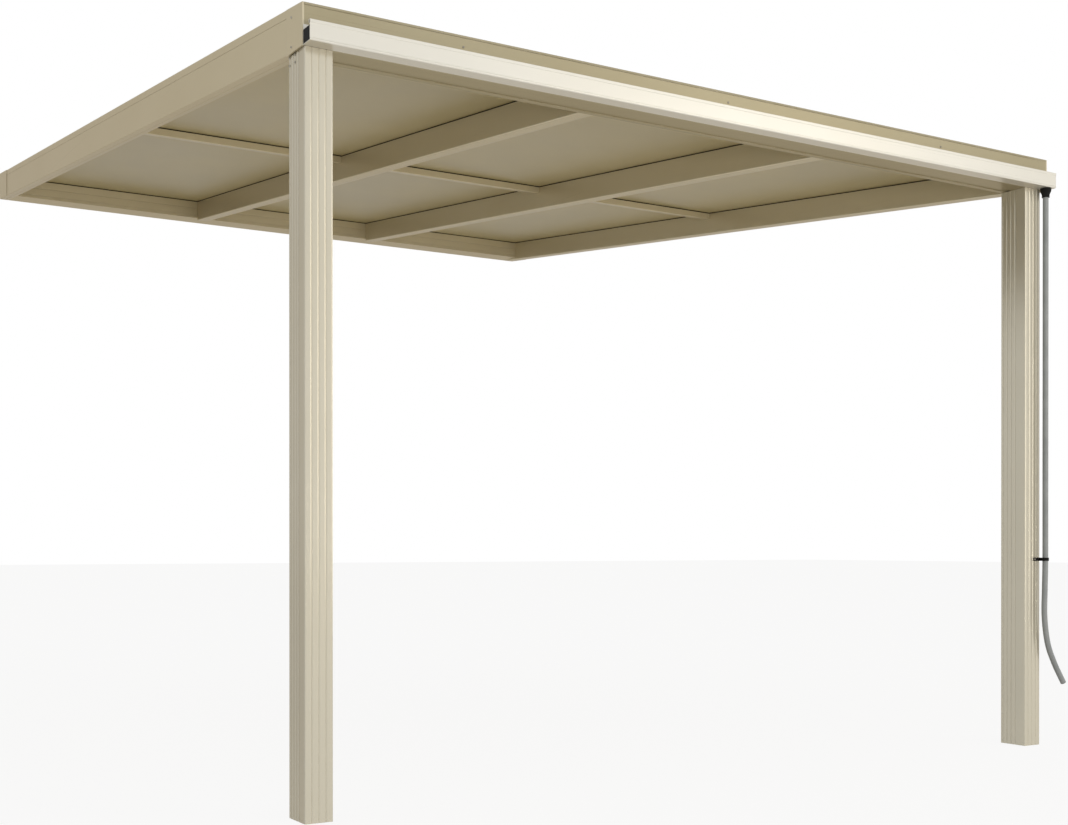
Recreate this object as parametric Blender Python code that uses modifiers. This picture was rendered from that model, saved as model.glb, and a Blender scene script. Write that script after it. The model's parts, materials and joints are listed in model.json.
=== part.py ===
"""Attached patio cover: two ribbed posts, a front beam with a gutter, four rafters, six panels and a wall ledger.

Metres, +Z up. The origin is the centre of the ledger's flat back, where the cover meets the wall.
+Y points into the wall and +X to the right, seen from in front. The roof falls towards the beam.
"""

import math

import bmesh
import bpy
from mathutils import Matrix, Vector

# Driving dimensions of the whole cover.
ROOF_WIDTH = 3.418
ROOF_DEPTH = 4.436
ROOF_SLOPE = 0.1026
BEAM_CLEARANCE = 2.400
BAYS = 3
GAP = 0.0003

# Posts.
POST_WIDTH = 0.095
POST_DEPTH = 0.128
POST_WALL = 0.0025
POST_INSET_LEFT = 0.008
POST_FRONT_RIBS = 4
POST_SIDE_RIBS = 3
POST_SIDE_RIB_WIDTH = 0.0215
POST_SIDE_STRIP = 0.0095
RIB_DEPTH = 0.0020
RIB_STEP = 0.0027
RIB_SHARPNESS = 6

# Rafters, their cap strips and the crossbars. Heights are above the plane of the rafters' undersides.
RAFTER_WIDTH = 0.060
OUTER_RAFTER_WIDTH = 0.050
RAFTER_WALL = 0.002
RAFTER_EDGE_RADIUS = 0.004
RAFTER_GROOVE_INSET = 0.022
RAFTER_GROOVE = 0.0025
SEAM_RADIUS = 0.0015
SHELF_HEIGHT = 0.1115
SHELF_WIDTH = 0.014
CORNER_RADIUS = 0.0015
CAP_INSET = 0.002
CAP_WALL = 0.002
CROSSBAR_HEIGHT = 0.036
CROSSBAR_DEPTH = 0.044
CROSSBAR_FROM_BEAM = 2.090
CROSSBAR_CAP_HEIGHT = 0.009

# Glazing.
GASKET_HEIGHT = 0.005
GASKET_WIDTH = 0.012
GASKET_SET_BACK = 0.0015
PANEL_THICKNESS = 0.006
PANEL_SLACK = 0.0005
CAP_RISE = 0.0215

# Front beam, its end caps, and the gutter hung on its face.
BEAM_DEPTH = 0.128
BEAM_WALL = 0.003
BEAM_FOOT_RADIUS = 0.008
BEAM_CHANNEL_SETBACK = 0.076
BEAM_CHANNEL_WIDTH = 0.030
BEAM_CHANNEL_DEPTH = 0.003
BEAM_DROP = 0.0032
BEAM_OVERHANG_RIGHT = 0.044
BEAM_CAP_THICKNESS = 0.006
BEAM_BEAD_HEIGHT = 0.009
BEAM_BEAD_DEPTH = 0.002
BEAM_LIP = 0.002
GUTTER_DEPTH = 0.056
GUTTER_HEIGHT = 0.064
GUTTER_WALL = 0.002
GUTTER_LIP_DEPTH = 0.012
GUTTER_LIP_DROP = 0.009
GUTTER_BEAD_HEIGHT = 0.0065
GUTTER_BEAD_DEPTH = 0.0015
GUTTER_NOTCH = 0.001
GUTTER_FOOT_RADIUS = 0.005
GUTTER_SHORT_RIGHT = 0.009
PLUG_HEIGHT = 0.046
PLUG_THICKNESS = 0.004

# Outlet under the gutter, and the hose that hangs from it.
OUTLET_TOP_RADIUS = 0.0235
OUTLET_FOOT_RADIUS = 0.016
OUTLET_HEIGHT = 0.039
OUTLET_BORE = 0.010
HOSE_RADIUS = 0.012
HOSE_STEPS = 60
CLIP_HEIGHT_ABOVE_GROUND = 0.802
CLIP_BAND = 0.0025
CLIP_WIDTH = 0.014
CLIP_TAB = 0.044
CLIP_SLACK = 0.0004

# Wall ledger and the covers on its ends.
LEDGER_DEPTH = 0.130
LEDGER_WALL = 0.0025
LEDGER_GROOVES = (0.0165, 0.0565)
LEDGER_GROOVE_WIDTH = 0.003
LEDGER_GROOVE_DEPTH = 0.003
END_COVER_LENGTH = 0.186
END_COVER_THICKNESS = 0.002
END_COVER_GROOVE_AT = 0.036
END_COVER_GROOVE = 0.003

PANEL_HEIGHT = SHELF_HEIGHT + GASKET_HEIGHT
FRAME_HEIGHT = PANEL_HEIGHT + PANEL_THICKNESS + CAP_RISE
HALF_WIDTH = ROOF_WIDTH / 2
BEAM_FRONT_Y = -ROOF_DEPTH
BEAM_BACK_Y = BEAM_FRONT_Y + BEAM_DEPTH


def roof_z(y, height=0.0):
    """Height of the sloping roof frame at y, measured from the plane of its undersides."""
    return -FRAME_HEIGHT / 2 + ROOF_SLOPE * y + height


BEAM_BOTTOM_Z = roof_z(BEAM_BACK_Y) - BEAM_DROP
GROUND_Z = BEAM_BOTTOM_Z - BEAM_CLEARANCE
BEAM_LEFT_X = -HALF_WIDTH
BEAM_RIGHT_X = HALF_WIDTH + BEAM_OVERHANG_RIGHT
GUTTER_RIGHT_X = BEAM_RIGHT_X - GUTTER_SHORT_RIGHT
OUTLET_X = HALF_WIDTH + 0.002
OUTLET_Y = BEAM_FRONT_Y - GUTTER_DEPTH / 2
CROSSBAR_Y = BEAM_BACK_Y + CROSSBAR_FROM_BEAM
RAFTER_PITCH = (ROOF_WIDTH - RAFTER_WIDTH) / BAYS
HOSE_TOP_Z = BEAM_BOTTOM_Z - OUTLET_HEIGHT - 2 * GAP

# The hose's route below its straight drop: offsets in x from the outlet, and heights above the ground.
HOSE_FREE_END = (
    (0.000, 0.802),
    (-0.003, 0.680),
    (-0.005, 0.557),
    (0.0155, 0.440),
    (0.059, 0.352),
    (0.1186, 0.2646),
)

AXES = {
    "X": Matrix(((0, 0, 1), (1, 0, 0), (0, 1, 0))).to_4x4(),
    "Y": Matrix(((1, 0, 0), (0, 0, -1), (0, 1, 0))).to_4x4(),
    "Z": Matrix.Identity(4),
}


def clear_scene():
    for obj in list(bpy.data.objects):
        bpy.data.objects.remove(obj, do_unlink=True)


def new_collection(name):
    collection = bpy.data.collections.new(name)
    bpy.context.scene.collection.children.link(collection)
    return collection


def finish(name, colour, roughness, metallic=0.0):
    """A Principled material."""
    material = bpy.data.materials.new(name)
    material.use_nodes = True
    shader = material.node_tree.nodes["Principled BSDF"]
    shader.inputs["Base Color"].default_value = (*colour, 1.0)
    shader.inputs["Roughness"].default_value = roughness
    shader.inputs["Metallic"].default_value = metallic
    return material


def place(obj, location, material):
    PARTS.objects.link(obj)
    obj.location = location
    obj.parent = ROOT
    obj.data.materials.clear()
    obj.data.materials.append(material)
    return obj


def weld(mesh):
    """Joins a curve's loose caps to its sides and points every face outwards."""
    shape = bmesh.new()
    shape.from_mesh(mesh)
    bmesh.ops.remove_doubles(shape, verts=shape.verts, dist=0.00001)
    bmesh.ops.recalc_face_normals(shape, faces=shape.faces)
    shape.to_mesh(mesh)
    shape.free()


def mesh_of(curve_object):
    """The mesh of an evaluated curve object, which is then removed."""
    bpy.context.scene.collection.objects.link(curve_object)
    graph = bpy.context.evaluated_depsgraph_get()
    mesh = bpy.data.meshes.new_from_object(curve_object.evaluated_get(graph))
    bpy.data.objects.remove(curve_object, do_unlink=True)
    weld(mesh)
    return mesh


def section_mesh(name, loops, length):
    """A section with any holes in it, extruded by its length about its own plane."""
    curve = bpy.data.curves.new(name, "CURVE")
    curve.dimensions = "2D"
    curve.fill_mode = "BOTH"
    curve.extrude = length / 2
    for loop in loops:
        spline = curve.splines.new("POLY")
        spline.points.add(len(loop) - 1)
        for point, (across, up) in zip(spline.points, loop):
            point.co = (across, up, 0.0, 1.0)
        spline.use_cyclic_u = True
    return mesh_of(bpy.data.objects.new(name, curve))


def extrusion(name, loops, length, along, location, material, slope=0.0):
    """An extruded section whose ends stay plumb where its length rises with the roof."""
    mesh = section_mesh(name, loops, length)
    mesh.transform(AXES[along])
    rise = Matrix.Identity(4)
    rise[2][1] = slope
    mesh.transform(rise)
    mesh.name = name
    return place(bpy.data.objects.new(name, mesh), location, material)


def offset(path, distance, closed=True):
    """The path moved to its left by a distance, with mitred corners."""
    points = [Vector(point) for point in path]
    count = len(points)
    moved = []
    for i, point in enumerate(points):
        before = points[i - 1] if closed or i > 0 else None
        after = points[(i + 1) % count] if closed or i < count - 1 else None
        normals = []
        for start, end in ((before, point), (point, after)):
            if start is not None and end is not None:
                run = (end - start).normalized()
                normals.append(Vector((-run.y, run.x)))
        mitre = sum(normals, Vector((0.0, 0.0))).normalized()
        moved.append(tuple(point + mitre * distance / mitre.dot(normals[0])))
    return moved


def rounded(points, radii, steps=3):
    """An outline with an arc in place of each corner whose number has a radius."""
    outline = []
    count = len(points)
    for i, point in enumerate(points):
        if i not in radii:
            outline.append(point)
            continue
        radius = radii[i]
        corner = Vector(point)
        inward = (Vector(points[i - 1]) - corner).normalized()
        onward = (Vector(points[(i + 1) % count]) - corner).normalized()
        half = inward.angle(onward) / 2
        reach = radius / math.tan(half)
        centre = corner + (inward + onward).normalized() * radius / math.sin(half)
        start = corner + inward * reach - centre
        end = corner + onward * reach - centre
        for step in range(steps + 1):
            spoke = start.lerp(end, step / steps).normalized() * radius
            outline.append(tuple(centre + spoke))
    return outline


def groove(at, base, size):
    """A V cut upwards into a level underside, as wide as it is deep."""
    return [(at - size / 2, base), (at, base + size), (at + size / 2, base)]


def rib(start, end, outward, skip_last=True):
    """Points of one crowned rib between two grooves, which lie one rib depth below its crown."""
    first, last = Vector(start), Vector(end)
    steps = math.ceil((last - first).length / RIB_STEP)
    points = []
    for step in range(steps + (0 if skip_last else 1)):
        share = step / steps
        across = 2 * share - 1
        crown = RIB_DEPTH * (1 - abs(across) ** RIB_SHARPNESS)
        points.append(tuple(first.lerp(last, share) + Vector(outward) * (crown - RIB_DEPTH)))
    return points


def ribbed_face(start, end, stations, outward):
    """A face from one corner to the next, with a rib between each pair of stations along it."""
    first, last = Vector(start), Vector(end)
    run = (last - first).normalized()
    points = []
    for low, high in zip(stations, stations[1:]):
        points += rib(first + run * low, first + run * high, outward)
    return points


def post_section():
    """Ribs on the front and back; the sides have a plain band at the front, ribs, then a strip at the back."""
    front = [i * POST_WIDTH / POST_FRONT_RIBS for i in range(POST_FRONT_RIBS + 1)]
    from_back = [0.0] + [POST_SIDE_STRIP + i * POST_SIDE_RIB_WIDTH for i in range(POST_SIDE_RIBS + 1)]
    from_back += [POST_DEPTH]
    side = [POST_DEPTH - station for station in reversed(from_back)]
    corners = ((0, 0), (POST_WIDTH, 0), (POST_WIDTH, POST_DEPTH), (0, POST_DEPTH))
    outline = ribbed_face(corners[0], corners[1], front, (0, -1))
    outline += ribbed_face(corners[1], corners[2], side, (1, 0))
    outline += ribbed_face(corners[2], corners[3], front, (0, 1))
    outline += ribbed_face(corners[3], corners[0], from_back, (-1, 0))
    inset = RIB_DEPTH + POST_WALL
    right, back = POST_WIDTH - inset, POST_DEPTH - inset
    void = ((inset, inset), (right, inset), (right, back), (inset, back))
    return [outline, void]


def make_posts():
    length = BEAM_CLEARANCE - GAP
    lefts = {
        "post_left": -HALF_WIDTH + POST_INSET_LEFT,
        "post_right": HALF_WIDTH - POST_WIDTH,
    }
    for name, left in lefts.items():
        location = (left, BEAM_FRONT_Y, GROUND_Z + length / 2)
        extrusion(name, post_section(), length, "Z", location, CHAMPAGNE)


def rafter_section(width, shelf_left, shelf_right):
    """A box with a step along each edge that carries glass, drawn anticlockwise from its lower left."""
    top = PANEL_HEIGHT - GAP
    points = [(0, 0)]
    if shelf_left:
        points += groove(RAFTER_GROOVE_INSET, 0, RAFTER_GROOVE)
    if shelf_right:
        points += groove(width - RAFTER_GROOVE_INSET, 0, RAFTER_GROOVE)
    radii = {0: RAFTER_EDGE_RADIUS, len(points): RAFTER_EDGE_RADIUS}
    points += [(width, 0)]
    if shelf_right:
        points += [(width, SHELF_HEIGHT), (width - SHELF_WIDTH, SHELF_HEIGHT)]
        points += [(width - SHELF_WIDTH, top)]
    else:
        radii[len(points)] = SEAM_RADIUS
        points += [(width, top)]
    if shelf_left:
        points += [(SHELF_WIDTH, top), (SHELF_WIDTH, SHELF_HEIGHT), (0, SHELF_HEIGHT)]
    else:
        radii[len(points)] = SEAM_RADIUS
        points += [(0, top)]
    return [rounded(points, radii), offset(points, RAFTER_WALL)]


def cap_section(width, shelf_left, shelf_right):
    """The strip that clips over a rafter and holds the glass down; a plain edge stays flush with the side."""
    over_glass = PANEL_HEIGHT + PANEL_THICKNESS + PANEL_SLACK
    left = CAP_INSET if shelf_left else 0.0
    right = width - CAP_INSET if shelf_right else width
    points = []
    radii = {}
    if shelf_left:
        points += [(left, over_glass), (SHELF_WIDTH, over_glass), (SHELF_WIDTH, PANEL_HEIGHT)]
    else:
        radii[0] = SEAM_RADIUS
        points += [(left, PANEL_HEIGHT)]
    if shelf_right:
        inner = width - SHELF_WIDTH
        points += [(inner, PANEL_HEIGHT), (inner, over_glass), (right, over_glass)]
    else:
        radii[len(points)] = SEAM_RADIUS
        points += [(right, PANEL_HEIGHT)]
    radii.update(dict.fromkeys((len(points), len(points) + 1), CORNER_RADIUS))
    points += [(right, FRAME_HEIGHT), (left, FRAME_HEIGHT)]
    return [rounded(points, radii), offset(points, CAP_WALL)]


def rafter_spans():
    """The left edge and width of each rafter, from the left side of the cover to the right."""
    spans = [(-HALF_WIDTH, OUTER_RAFTER_WIDTH)]
    spans += [(-HALF_WIDTH + i * RAFTER_PITCH, RAFTER_WIDTH) for i in range(1, BAYS)]
    return spans + [(HALF_WIDTH - OUTER_RAFTER_WIDTH, OUTER_RAFTER_WIDTH)]


def make_rafters():
    names = ["left"] + [f"inner_{i}" for i in range(1, BAYS)] + ["right"]
    for i, (name, (left, width)) in enumerate(zip(names, rafter_spans())):
        shelves = (i > 0, i < BAYS)
        front = BEAM_BACK_Y + GAP
        back = -LEDGER_DEPTH - GAP if all(shelves) else 0.0
        middle = (front + back) / 2
        location = (left, middle, roof_z(middle))
        section = rafter_section(width, *shelves)
        extrusion(f"rafter_{name}", section, back - front, "Y", location, CHAMPAGNE, ROOF_SLOPE)
        section = cap_section(width, *shelves)
        extrusion(f"cap_{name}", section, back - front, "Y", location, CHAMPAGNE, ROOF_SLOPE)


def bay_edges():
    """The clear width of each bay, between the faces of its two rafters."""
    spans = rafter_spans()
    return [(left + width, spans[i + 1][0]) for i, (left, width) in enumerate(spans[:-1])]


def crossbar_section():
    """A T with a glass shelf on each side, about the middle of the bar."""
    half = CROSSBAR_DEPTH / 2
    neck = half - SHELF_WIDTH
    bottom = PANEL_HEIGHT - CROSSBAR_HEIGHT
    top = PANEL_HEIGHT - GAP
    points = [(-half, bottom), (half, bottom), (half, SHELF_HEIGHT), (neck, SHELF_HEIGHT)]
    points += [(neck, top), (-neck, top), (-neck, SHELF_HEIGHT), (-half, SHELF_HEIGHT)]
    void = offset(points, RAFTER_WALL)
    return [rounded(points, dict.fromkeys((0, 1), CORNER_RADIUS)), void]


def crossbar_cap_section():
    """A low strip over the joint between the front and back panels."""
    half = CROSSBAR_DEPTH / 2 - CAP_INSET
    neck = CROSSBAR_DEPTH / 2 - SHELF_WIDTH
    over_glass = PANEL_HEIGHT + PANEL_THICKNESS + PANEL_SLACK
    top = over_glass + CROSSBAR_CAP_HEIGHT
    points = [(-half, over_glass), (-neck, over_glass), (-neck, PANEL_HEIGHT), (neck, PANEL_HEIGHT)]
    points += [(neck, over_glass), (half, over_glass), (half, top), (-half, top)]
    return [rounded(points, dict.fromkeys((6, 7), CORNER_RADIUS))]


def sheared(loops):
    """A section across the slope, whose heights follow the slope."""
    return [[(y, z + ROOF_SLOPE * y) for y, z in loop] for loop in loops]


def make_crossbars():
    for i, (left, right) in enumerate(bay_edges(), 1):
        length = right - left - 2 * GAP
        location = ((left + right) / 2, CROSSBAR_Y, roof_z(CROSSBAR_Y))
        bar = sheared(crossbar_section())
        extrusion(f"crossbar_{i}", bar, length, "X", location, CHAMPAGNE)
        cap = sheared(crossbar_cap_section())
        cap_length = length + 2 * (CAP_INSET - GAP)
        extrusion(f"crossbar_cap_{i}", cap, cap_length, "X", location, CHAMPAGNE)


def glazing_rows():
    """Front and back edge, in y, of the clear opening of each row of panels."""
    half = CROSSBAR_DEPTH / 2
    return {
        "front": (BEAM_BACK_Y, CROSSBAR_Y - half),
        "back": (CROSSBAR_Y + half, -LEDGER_DEPTH),
    }


def rectangle(left, right, front, back):
    return [(left, front), (right, front), (right, back), (left, back)]


def make_glazing():
    """Each panel lies on a gasket ring, and both reach over the shelves round their bay."""
    reach = GASKET_WIDTH
    for row, (front, back) in glazing_rows().items():
        for i, (left, right) in enumerate(bay_edges(), 1):
            outer = rectangle(left - reach, right + reach, front - reach, back + reach)
            ring = [outer, offset(outer, reach - GASKET_SET_BACK)]
            thickness = GASKET_HEIGHT - 2 * GAP
            height = SHELF_HEIGHT + GASKET_HEIGHT / 2
            location = (0, 0, roof_z(0, height))
            extrusion(f"gasket_{row}_{i}", ring, thickness, "Z", location, RUBBER, ROOF_SLOPE)
            height = PANEL_HEIGHT + PANEL_THICKNESS / 2
            location = (0, 0, roof_z(0, height))
            extrusion(f"panel_{row}_{i}", [outer], PANEL_THICKNESS, "Z", location, BRONZE_SHEET, ROOF_SLOPE)


def beam_rise(y, height):
    """A height on the sloping roof frame, above the beam's underside at y behind its face."""
    return BEAM_DROP + ROOF_SLOPE * (y - BEAM_DEPTH) + height


def beam_outline():
    """The beam's section from its lower front corner, with a channel below, a groove for the glass and a lip."""
    stop = BEAM_DEPTH - SHELF_WIDTH
    back = BEAM_DEPTH - BEAM_LIP
    over_glass = PANEL_HEIGHT + PANEL_THICKNESS + PANEL_SLACK
    channel_back = BEAM_CHANNEL_SETBACK + BEAM_CHANNEL_WIDTH
    top = beam_rise(0, FRAME_HEIGHT)
    bead = top - BEAM_BEAD_HEIGHT
    points = [(0, 0), (BEAM_CHANNEL_SETBACK, 0), (BEAM_CHANNEL_SETBACK, BEAM_CHANNEL_DEPTH)]
    points += [(channel_back, BEAM_CHANNEL_DEPTH), (channel_back, 0), (BEAM_DEPTH, 0)]
    points += [(BEAM_DEPTH, beam_rise(BEAM_DEPTH, SHELF_HEIGHT)), (stop, beam_rise(stop, SHELF_HEIGHT))]
    points += [(stop, beam_rise(stop, over_glass)), (back, beam_rise(back, over_glass))]
    points += [(back, beam_rise(back, FRAME_HEIGHT)), (0, top)]
    points += [(-BEAM_BEAD_DEPTH, bead + BEAM_BEAD_DEPTH), (0, bead)]
    return rounded(points, {0: BEAM_FOOT_RADIUS})


def beam_void():
    """One chamber that steps down behind to pass under the glass groove."""
    floor = BEAM_CHANNEL_DEPTH + BEAM_WALL
    right = BEAM_DEPTH - BEAM_WALL
    step = BEAM_DEPTH - SHELF_WIDTH - BEAM_WALL
    ceiling = beam_rise(step, SHELF_HEIGHT) - BEAM_WALL
    void = [(BEAM_WALL, floor), (right, floor), (right, ceiling), (step, ceiling)]
    void += [(step, beam_rise(step, FRAME_HEIGHT) - BEAM_WALL)]
    return void + [(BEAM_WALL, beam_rise(BEAM_WALL, FRAME_HEIGHT) - BEAM_WALL)]


def make_beam():
    left = BEAM_LEFT_X + BEAM_CAP_THICKNESS + GAP
    right = BEAM_RIGHT_X - BEAM_CAP_THICKNESS - GAP
    location = ((left + right) / 2, BEAM_FRONT_Y, BEAM_BOTTOM_Z)
    section = [beam_outline(), beam_void()]
    extrusion("front_beam", section, right - left, "X", location, CHAMPAGNE)
    centres = {
        "beam_end_cap_left": BEAM_LEFT_X + BEAM_CAP_THICKNESS / 2,
        "beam_end_cap_right": BEAM_RIGHT_X - BEAM_CAP_THICKNESS / 2,
    }
    for name, x in centres.items():
        location = (x, BEAM_FRONT_Y, BEAM_BOTTOM_Z)
        extrusion(name, [end_cap_outline()], BEAM_CAP_THICKNESS, "X", location, CHAMPAGNE)


def end_cap_outline():
    """The beam's own outline without its channel, lip and glass groove."""
    top = beam_rise(0, FRAME_HEIGHT)
    points = [(0, 0), (BEAM_DEPTH, 0), (BEAM_DEPTH, BEAM_DROP + FRAME_HEIGHT), (0, top)]
    return rounded(points, {0: BEAM_FOOT_RADIUS})


def gutter_outline():
    """A channel whose face has a lip that turns in above, and a notch and a rounded bead below."""
    front = -GUTTER_DEPTH
    recess = front + GUTTER_BEAD_DEPTH
    lip_foot = GUTTER_HEIGHT - GUTTER_LIP_DROP
    face = [(front + GUTTER_LIP_DEPTH, lip_foot), (front + GUTTER_LIP_DEPTH, GUTTER_HEIGHT)]
    face += [(front, GUTTER_HEIGHT), (front, lip_foot), (recess, lip_foot - GUTTER_BEAD_DEPTH)]
    notch = [(recess, GUTTER_BEAD_HEIGHT + 2 * GUTTER_NOTCH)]
    notch += [(recess + GUTTER_NOTCH, GUTTER_BEAD_HEIGHT + GUTTER_NOTCH)]
    floor = [(front, GUTTER_BEAD_HEIGHT), (front, 0), (-GAP, 0), (-GAP, GUTTER_HEIGHT)]
    outer = rounded(face + notch + floor, {len(face + notch) + 1: GUTTER_FOOT_RADIUS}, steps=5)
    plain = rounded(face + notch[:1] + floor, {len(face) + 2: GUTTER_FOOT_RADIUS}, steps=5)
    inner = offset(plain, GUTTER_WALL, closed=False)
    return outer + inner[::-1]


def make_gutter():
    left = BEAM_LEFT_X + BEAM_CAP_THICKNESS / 3
    length = GUTTER_RIGHT_X - left
    location = ((left + GUTTER_RIGHT_X) / 2, BEAM_FRONT_Y, BEAM_BOTTOM_Z)
    gutter = extrusion("gutter", [gutter_outline()], length, "X", location, CHAMPAGNE)
    drill(gutter, OUTLET_BORE, OUTLET_X, OUTLET_Y, BEAM_BOTTOM_Z)
    inset = GUTTER_WALL + GUTTER_BEAD_DEPTH + GAP
    plug = rectangle(-GUTTER_DEPTH + inset, -GUTTER_WALL - 2 * GAP, GUTTER_WALL + GAP, PLUG_HEIGHT)
    plug = rounded(plug, {0: GUTTER_FOOT_RADIUS, 1: CORNER_RADIUS})
    centres = {
        "gutter_plug_left": left + PLUG_THICKNESS / 2,
        "gutter_plug_right": GUTTER_RIGHT_X - PLUG_THICKNESS / 2,
    }
    for name, x in centres.items():
        extrusion(name, [plug], PLUG_THICKNESS, "X", (x, BEAM_FRONT_Y, BEAM_BOTTOM_Z), BLACK_PLASTIC)


def drill(obj, radius, x, y, z):
    """An upright hole through a wall near z."""
    bpy.ops.mesh.primitive_cylinder_add(radius=radius, depth=8 * radius, vertices=24, location=(x, y, z))
    cutter = bpy.context.object
    cutter.name = obj.name + "_drill"
    for collection in list(cutter.users_collection):
        collection.objects.unlink(cutter)
    CUTTERS.objects.link(cutter)
    cutter.display_type = "WIRE"
    cutter.hide_render = True
    cut = obj.modifiers.new("drain_hole", "BOOLEAN")
    cut.operation = "DIFFERENCE"
    cut.solver = "EXACT"
    cut.object = cutter


def make_outlet():
    """A turned funnel: a flange under the gutter, a bell and a spout that the hose meets."""
    top = -GAP
    flange = top - 0.004
    bell_foot = -OUTLET_HEIGHT * 0.72
    foot = -OUTLET_HEIGHT - GAP
    outer = [(OUTLET_TOP_RADIUS, top), (OUTLET_TOP_RADIUS, flange)]
    outer += [(OUTLET_TOP_RADIUS - 0.001, flange - 0.008), (OUTLET_FOOT_RADIUS, bell_foot)]
    outer += [(OUTLET_FOOT_RADIUS, foot)]
    inner = [(OUTLET_BORE, foot), (OUTLET_BORE, top)]
    mesh = bpy.data.meshes.new("gutter_outlet")
    profile = outer + inner
    count = len(profile)
    mesh.from_pydata([(r, 0, z) for r, z in profile], [(i, (i + 1) % count) for i in range(count)], [])
    outlet = bpy.data.objects.new("gutter_outlet", mesh)
    turn = outlet.modifiers.new("turn", "SCREW")
    turn.steps = turn.render_steps = 32
    turn.use_merge_vertices = True
    turn.merge_threshold = 0.00001
    place(outlet, (OUTLET_X, OUTLET_Y, BEAM_BOTTOM_Z), BLACK_PLASTIC)


def smooth_route(points, count):
    """Evenly shared points on a smooth curve through the given ones (Catmull-Rom)."""
    route = []
    spans = len(points) - 1
    padded = [2 * points[0] - points[1]] + points + [2 * points[-1] - points[-2]]
    for step in range(count + 1):
        place_along = step / count * spans
        span = min(int(place_along), spans - 1)
        t = place_along - span
        a, b, c, d = padded[span : span + 4]
        route.append(
            0.5 * (2 * b + (c - a) * t + (2 * a - 5 * b + 4 * c - d) * t**2 + (3 * b - a - 3 * c + d) * t**3)
        )
    return route


def make_hose():
    """The drain hose: a straight drop, then a free end that curls away from the post."""
    drop_top = Vector((OUTLET_X, OUTLET_Y, HOSE_TOP_Z))
    low = [Vector((OUTLET_X + x, OUTLET_Y, GROUND_Z + z)) for x, z in HOSE_FREE_END]
    drop = [drop_top.lerp(low[0], share / 5) for share in range(5)]
    route = smooth_route(drop + low, HOSE_STEPS)
    curve = bpy.data.curves.new("drain_hose", "CURVE")
    curve.dimensions = "3D"
    curve.bevel_depth = HOSE_RADIUS
    curve.bevel_resolution = 3
    curve.use_fill_caps = True
    spline = curve.splines.new("POLY")
    spline.points.add(len(route) - 1)
    for point, position in zip(spline.points, route):
        point.co = (*position, 1.0)
    place(bpy.data.objects.new("drain_hose", curve), (0, 0, 0), GREY_HOSE)


def make_hose_clip():
    """A band round the hose whose tab lies on the post's face."""
    inner = HOSE_RADIUS + CLIP_SLACK
    outer = inner + CLIP_BAND
    back = GUTTER_DEPTH / 2 - GAP
    tab_face = back - CLIP_BAND
    steps = 24
    begin = math.asin(0.35)
    band = []
    for step in range(steps + 1):
        angle = math.pi / 2 - begin - step / steps * (2 * math.pi - 2 * begin)
        band.append((outer * math.cos(angle), outer * math.sin(angle)))
    neck = band[0][0]
    outline = [(neck, back), (-CLIP_TAB, back), (-CLIP_TAB, tab_face), (band[-1][0], tab_face)]
    outline += band[::-1]
    hole = []
    for step in range(steps):
        angle = 2 * math.pi * step / steps
        hole.append((inner * math.cos(angle), inner * math.sin(angle)))
    location = (OUTLET_X, OUTLET_Y, GROUND_Z + CLIP_HEIGHT_ABOVE_GROUND)
    extrusion("hose_clip", [outline, hole], CLIP_WIDTH, "Z", location, BLACK_PLASTIC)


def ledger_section():
    """The ledger's section from its lower back corner; y is negative towards the room side."""

    def rise(y, height):
        return ROOF_SLOPE * y + height

    face = -LEDGER_DEPTH
    stop = face + SHELF_WIDTH
    lip = face + CAP_INSET
    over_glass = PANEL_HEIGHT + PANEL_THICKNESS + PANEL_SLACK
    points = [(0, 0), (0, FRAME_HEIGHT), (lip, rise(lip, FRAME_HEIGHT)), (lip, rise(lip, over_glass))]
    points += [(stop, rise(stop, over_glass)), (stop, rise(stop, SHELF_HEIGHT)), (face, rise(face, SHELF_HEIGHT))]
    half = LEDGER_GROOVE_WIDTH / 2
    for height in reversed(LEDGER_GROOVES):
        points += [(face, height + half), (face + LEDGER_GROOVE_DEPTH, height), (face, height - half)]
    points += [(face, 0)]
    ceiling = rise(face, SHELF_HEIGHT) - LEDGER_WALL
    void_face = face + LEDGER_GROOVE_DEPTH + LEDGER_WALL
    step = stop + LEDGER_WALL
    void = [(void_face, LEDGER_WALL), (-LEDGER_WALL, LEDGER_WALL)]
    void += [(y, rise(y, FRAME_HEIGHT) - LEDGER_WALL) for y in (-LEDGER_WALL, step)]
    void += [(step, ceiling), (void_face, ceiling)]
    return [points, void]


def make_ledger():
    left, right = bay_edges()[0][0], bay_edges()[-1][1]
    length = right - left - 2 * GAP
    location = ((left + right) / 2, 0, roof_z(0))
    extrusion("wall_ledger", ledger_section(), length, "X", location, CHAMPAGNE)


def end_cover_section():
    """A thin plate seen from above, with one upright groove; x is outwards from the side of the cover."""
    groove = END_COVER_GROOVE / 2
    deep = END_COVER_THICKNESS / 2
    outline = [(0, 0), (0, -END_COVER_LENGTH), (END_COVER_THICKNESS, -END_COVER_LENGTH)]
    outline += [(END_COVER_THICKNESS, -END_COVER_GROOVE_AT - groove), (deep, -END_COVER_GROOVE_AT)]
    outline += [(END_COVER_THICKNESS, -END_COVER_GROOVE_AT + groove), (END_COVER_THICKNESS, 0)]
    return outline


def make_end_covers():
    for name, side in (("wall_end_cover_left", -1), ("wall_end_cover_right", 1)):
        outline = [(side * x, y) for x, y in end_cover_section()]
        location = (side * (HALF_WIDTH + GAP), 0, roof_z(0, FRAME_HEIGHT / 2))
        extrusion(name, [outline], FRAME_HEIGHT, "Z", location, CHAMPAGNE, ROOF_SLOPE)


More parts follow.
